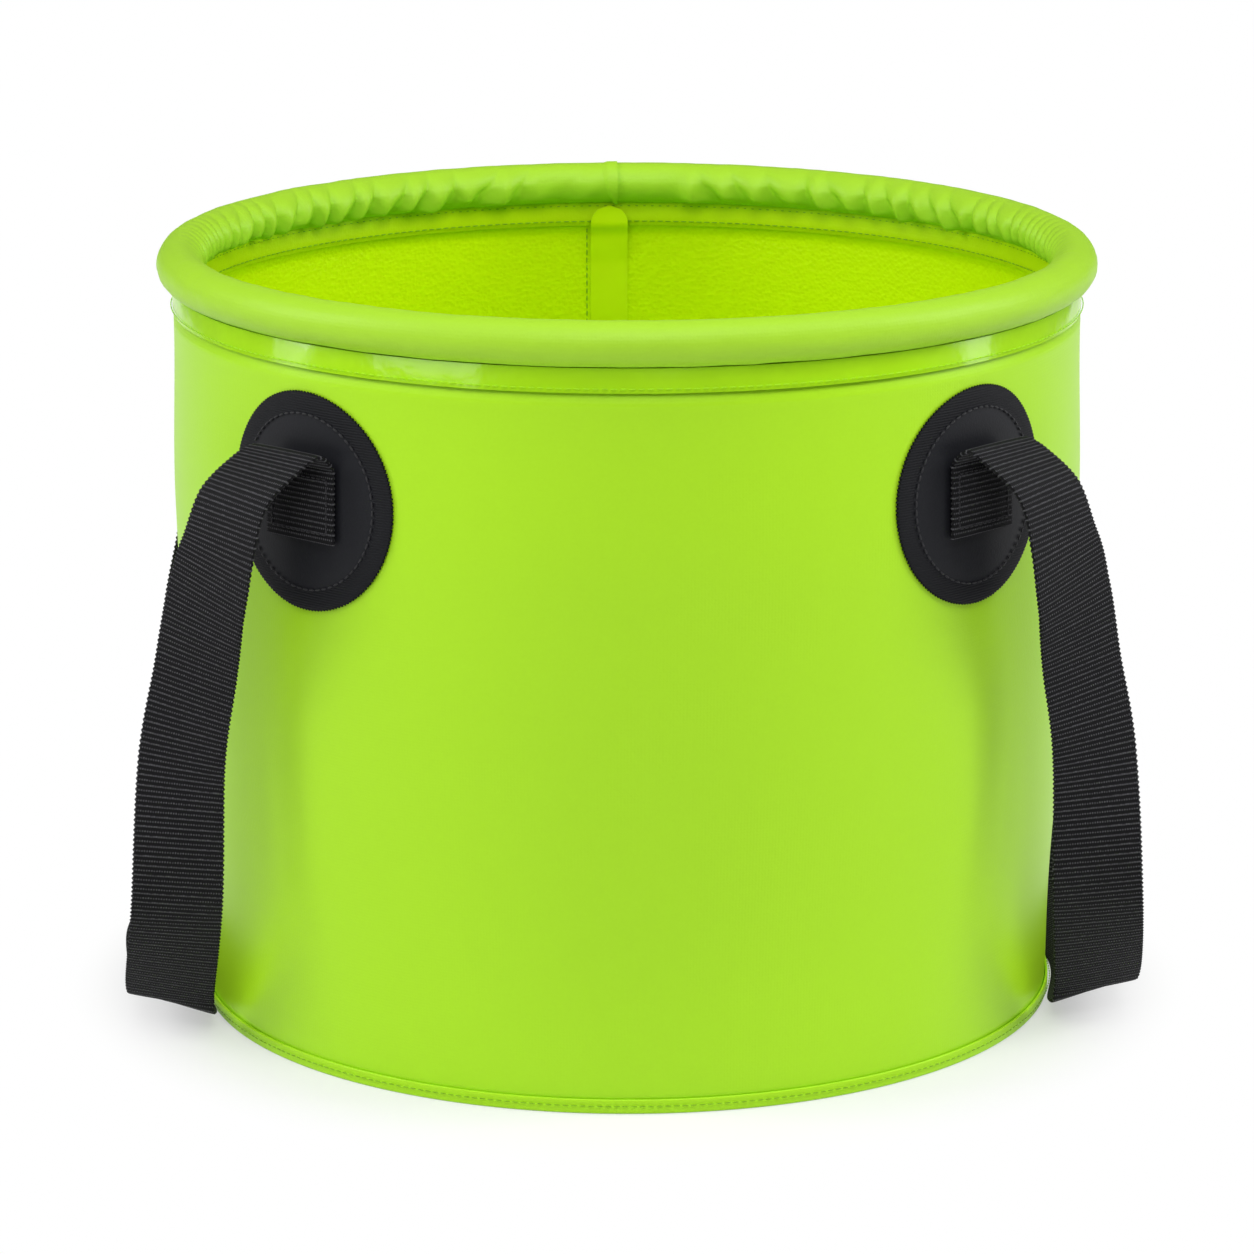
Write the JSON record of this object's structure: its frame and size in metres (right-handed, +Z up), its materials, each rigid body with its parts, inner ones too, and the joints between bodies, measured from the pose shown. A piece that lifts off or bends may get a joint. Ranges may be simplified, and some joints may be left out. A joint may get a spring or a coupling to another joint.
{
  "type": "collapsible camp bucket",
  "caption": "Round soft-sided bucket with a padded hoop rim that drops flat over its base, and webbing loop handles sewn to round patches on the wall.",
  "frame": {"origin": "centre of the base's underside, on the bucket's axis", "axes": "+Z up along the bucket's axis, +X towards the right handle, -Y towards the front, with the wall's seam at +Y"},
  "size_m": [0.3702, 0.3316, 0.2742],
  "materials": {
    "coated_panel": "satin coated fabric, lime green",
    "seam_tape": "glossy welded tape, lime green",
    "sleeve_fabric": "matte fabric sleeve, lime green",
    "green_thread": "green sewing thread",
    "patch_fabric": "black heavy fabric patch",
    "webbing": "black ribbed webbing",
    "black_thread": "dark sewing thread",
    "foam": "pale closed-cell foam",
    "spring_wire": "drawn spring wire"
  },
  "bodies": {
    "rim": {"rim_hoop": "spring_wire", "rim_foam": "foam", "rim_sleeve": "sleeve_fabric", "sleeve_lap": "sleeve_fabric", "rim_seam_tape": "seam_tape", "rim_hem_stitching": "green_thread", "rim_tape_stitching": "green_thread", "patch_front_left": "patch_fabric", "patch_front_right": "patch_fabric", "patch_rear_left": "patch_fabric", "patch_rear_right": "patch_fabric", "patch_stitching_front_left": "black_thread", "patch_stitching_front_right": "black_thread", "patch_stitching_rear_left": "black_thread", "patch_stitching_rear_right": "black_thread", "box_stitching_front_left": "black_thread", "box_stitching_front_right": "black_thread", "box_stitching_rear_left": "black_thread", "box_stitching_rear_right": "black_thread", "strap_root_front_left": "webbing", "strap_root_front_right": "webbing", "strap_root_rear_left": "webbing", "strap_root_rear_right": "webbing"},
    "base": {"base_panel": "coated_panel", "base_seam_tape": "seam_tape", "base_stitching": "green_thread", "wall_panel": "coated_panel", "wall_seam_tape": "seam_tape", "wall_seam_stitching": "green_thread"},
    "handle_left": {"handle_left": "webbing"},
    "handle_right": {"handle_right": "webbing"}
  },
  "joints": [
    {"name": "base_rise", "type": "slide", "parent": "rim", "child": "base", "axis": [0, 0, 1], "range_m": [0, 0.16], "deforming": ["wall_panel", "wall_seam_tape", "wall_seam_stitching"]},
    {"name": "left_handle_swing", "type": "hinge", "parent": "rim", "child": "handle_left", "pos_m": [-0.12837, 0, 0.208], "axis": [0, 1, 0], "range_deg": [0, 160], "deforming": ["strap_root_front_left", "strap_root_rear_left"]},
    {"name": "right_handle_swing", "type": "hinge", "parent": "rim", "child": "handle_right", "pos_m": [0.12837, 0, 0.208], "axis": [0, -1, 0], "range_deg": [0, 160], "deforming": ["strap_root_front_right", "strap_root_rear_right"]}
  ]
}
